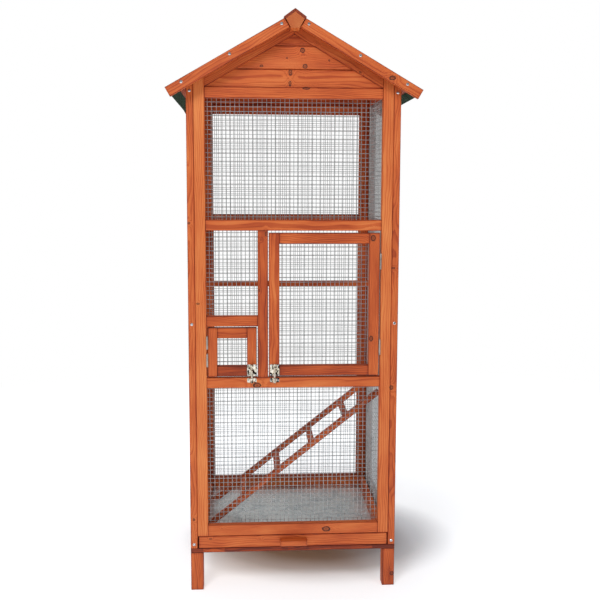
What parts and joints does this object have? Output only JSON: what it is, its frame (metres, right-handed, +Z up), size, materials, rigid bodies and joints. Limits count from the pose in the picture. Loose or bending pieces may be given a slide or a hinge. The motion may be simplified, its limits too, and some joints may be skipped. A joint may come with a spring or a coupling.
{
  "type": "bird cage on stand",
  "caption": "Tall gabled bird cage on short feet: stained timber frame, welded mesh panels, hinged doors with barrel bolts, pull-out tray, perch, ladder and felted roof.",
  "frame": {"origin": "on the floor, midway between the sides and midway between front and back", "axes": "+Z up, front with the doors and tray handle towards -Y, +X to the right as seen from the front"},
  "size_m": [0.704, 0.646, 1.651],
  "materials": {
    "stained_fir": "orange-red water stain, satin, fine grain with knots",
    "plywood": "thin plywood, unsealed",
    "galvanised_wire": "welded and galvanised",
    "zinc_sheet": "galvanised sheet with faint spangle",
    "zinc_hinge": "bright zinc plate",
    "nickel_bolt": "polished nickel plate",
    "zinc_screw": "bright zinc plate",
    "roof_felt": "green mineral roofing felt"
  },
  "bodies": {
    "cage": {"base_frame": "stained_fir", "feet": "stained_fir", "front_corner_strips": "stained_fir", "rear_corner_strips": "stained_fir", "front_stiles": "stained_fir", "front_top_rail": "stained_fir", "front_upper_rail": "stained_fir", "front_lower_rail": "stained_fir", "front_bottom_rail": "stained_fir", "front_mullion": "stained_fir", "front_short_rail": "stained_fir", "front_gable_rails": "stained_fir", "front_gable_boards": "stained_fir", "front_mesh_top": "galvanised_wire", "front_mesh_window": "galvanised_wire", "front_mesh_bottom": "galvanised_wire", "left_side_stiles": "stained_fir", "left_side_rails": "stained_fir", "left_side_mesh": "galvanised_wire", "right_side_stiles": "stained_fir", "right_side_rails": "stained_fir", "right_side_mesh": "galvanised_wire", "back_stiles": "stained_fir", "back_rails": "stained_fir", "back_mesh": "galvanised_wire", "back_gable_rails": "stained_fir", "back_gable_boards": "stained_fir", "ridge_beam": "stained_fir", "ridge_cap": "stained_fir", "roof_board_left": "stained_fir", "roof_board_right": "stained_fir", "roof_felt": "roof_felt", "bargeboards": "stained_fir", "perch": "stained_fir", "assembly_screws": "zinc_screw", "hinge_frame_leaves": "zinc_hinge", "hinge_pins": "zinc_hinge", "bolt_keepers": "nickel_bolt"},
    "tray": {"tray_front": "stained_fir", "tray_handle": "stained_fir", "tray_walls": "stained_fir", "tray_bottom": "plywood", "tray_liner": "zinc_sheet"},
    "main_door": {"main_door_stiles": "stained_fir", "main_door_rails": "stained_fir", "main_door_mesh": "galvanised_wire", "main_door_hinge_leaves": "zinc_hinge", "main_door_bolt_housing": "nickel_bolt", "main_door_screws": "zinc_screw"},
    "main_bolt": {"main_door_bolt": "nickel_bolt"},
    "small_door": {"small_door_stiles": "stained_fir", "small_door_rails": "stained_fir", "small_door_mesh": "galvanised_wire", "small_door_hinge_leaves": "zinc_hinge", "small_door_bolt_housing": "nickel_bolt", "small_door_screws": "zinc_screw"},
    "small_bolt": {"small_door_bolt": "nickel_bolt"},
    "ladder": {"ladder_stringers": "stained_fir", "ladder_rungs": "stained_fir", "ladder_hooks": "galvanised_wire"}
  },
  "joints": [
    {"name": "main_door_hinge", "type": "hinge", "parent": "cage", "child": "main_door", "pos_m": [0.2463, -0.2759, 0.8405], "axis": [0, 0, 1], "range_deg": [0, 170]},
    {"name": "small_door_hinge", "type": "hinge", "parent": "cage", "child": "small_door", "pos_m": [-0.2463, -0.2759, 0.7072], "axis": [0, 0, -1], "range_deg": [0, 170]},
    {"name": "main_bolt_slide", "type": "slide", "parent": "main_door", "child": "main_bolt", "axis": [0, 0, -1], "range_m": [0, 0.012]},
    {"name": "small_bolt_slide", "type": "slide", "parent": "small_door", "child": "small_bolt", "axis": [0, 0, -1], "range_m": [0, 0.012]},
    {"name": "tray_slide", "type": "slide", "parent": "cage", "child": "tray", "axis": [0, -1, 0], "range_m": [0, 0.45]},
    {"name": "ladder_lift", "type": "slide", "parent": "cage", "child": "ladder", "axis": [0, 0, 1], "range_m": [0, 0.008]}
  ]
}
